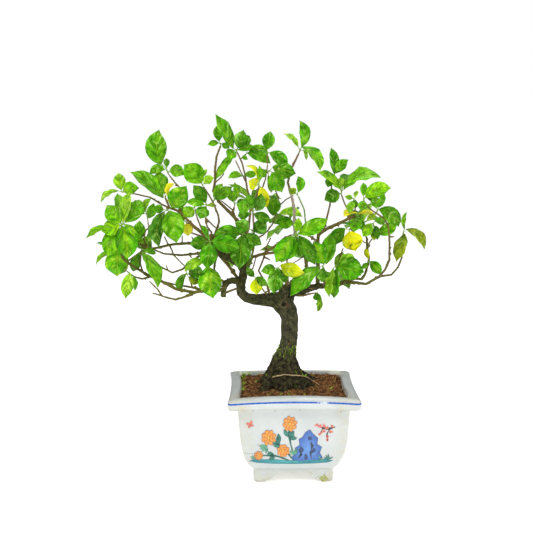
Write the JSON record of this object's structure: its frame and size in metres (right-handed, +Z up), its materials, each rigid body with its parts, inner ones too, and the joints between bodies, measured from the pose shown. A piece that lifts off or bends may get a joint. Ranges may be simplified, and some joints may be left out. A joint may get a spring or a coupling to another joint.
{
  "type": "potted persimmon tree",
  "caption": "Small persimmon bonsai with a crooked trunk and spreading leafy branches, growing from soil in a square footed porcelain pot.",
  "frame": {"origin": "centre of the bounding box in plan, at the ground that the pot's feet stand on", "axes": "+Z up along the tree, +Y away from the painted front of the pot (the shortest way across), +X to the right seen from the front"},
  "size_m": [0.4154, 0.16, 0.4475],
  "materials": {
    "glazed_porcelain": "clear bluish white glaze with a blue rim line",
    "planting_soil": "loose fibrous reddish brown granules",
    "bark": "rough dark bark with moss",
    "pale_root": "dry pale thin root",
    "net_plastic": "black drain net",
    "leaf": "glossy fresh green leaf"
  },
  "bodies": {
    "root": {"drain_mesh": "net_plastic", "pot": "glazed_porcelain", "shoot_centre_a": "leaf", "shoot_centre_b": "leaf", "shoot_centre_spur": "leaf", "shoot_crown_left_a": "leaf", "shoot_crown_left_b": "leaf", "shoot_crown_left_c": "leaf", "shoot_crown_left_e": "leaf", "shoot_crown_mid_a": "leaf", "shoot_crown_mid_c": "leaf", "shoot_crown_right_a": "leaf", "shoot_crown_right_b": "leaf", "shoot_crown_right_c": "leaf", "shoot_crown_right_d": "leaf", "shoot_crown_right_e": "leaf", "shoot_crown_top_a": "leaf", "shoot_crown_top_b": "leaf", "shoot_crown_top_c": "leaf", "shoot_far_right": "leaf", "shoot_inner_left_a": "leaf", "shoot_inner_left_b": "leaf", "shoot_inner_left_c": "leaf", "shoot_left_centre_whorl": "leaf", "shoot_left_low": "leaf", "shoot_left_mid": "leaf", "shoot_left_outer": "leaf", "shoot_left_tip": "leaf", "shoot_left_top_a": "leaf", "shoot_left_top_b": "leaf", "shoot_left_under_a": "leaf", "shoot_left_under_b": "leaf", "shoot_left_whorl": "leaf", "shoot_mid_right_b": "leaf", "shoot_mid_right_c": "leaf", "shoot_rear_1": "leaf", "shoot_rear_2": "leaf", "shoot_rear_3": "leaf", "shoot_rear_4": "leaf", "shoot_rear_5": "leaf", "shoot_rear_6": "leaf", "shoot_rear_7": "leaf", "shoot_right_inner": "leaf", "shoot_right_low_a": "leaf", "shoot_right_low_b": "leaf", "shoot_right_mid_b": "leaf", "shoot_right_mid_c": "leaf", "shoot_right_top_a": "leaf", "shoot_right_top_b": "leaf", "shoot_right_top_c": "leaf", "shoot_right_under": "leaf", "shoot_right_whorl": "leaf", "shoot_trunk_front": "leaf", "shoot_trunk_whorl": "leaf", "shoot_yellow_a": "leaf", "shoot_yellow_b": "leaf", "shoot_yellow_c": "leaf", "soil": "planting_soil", "surface_root": "pale_root", "tree_wood": "bark"}
  },
  "joints": []
}
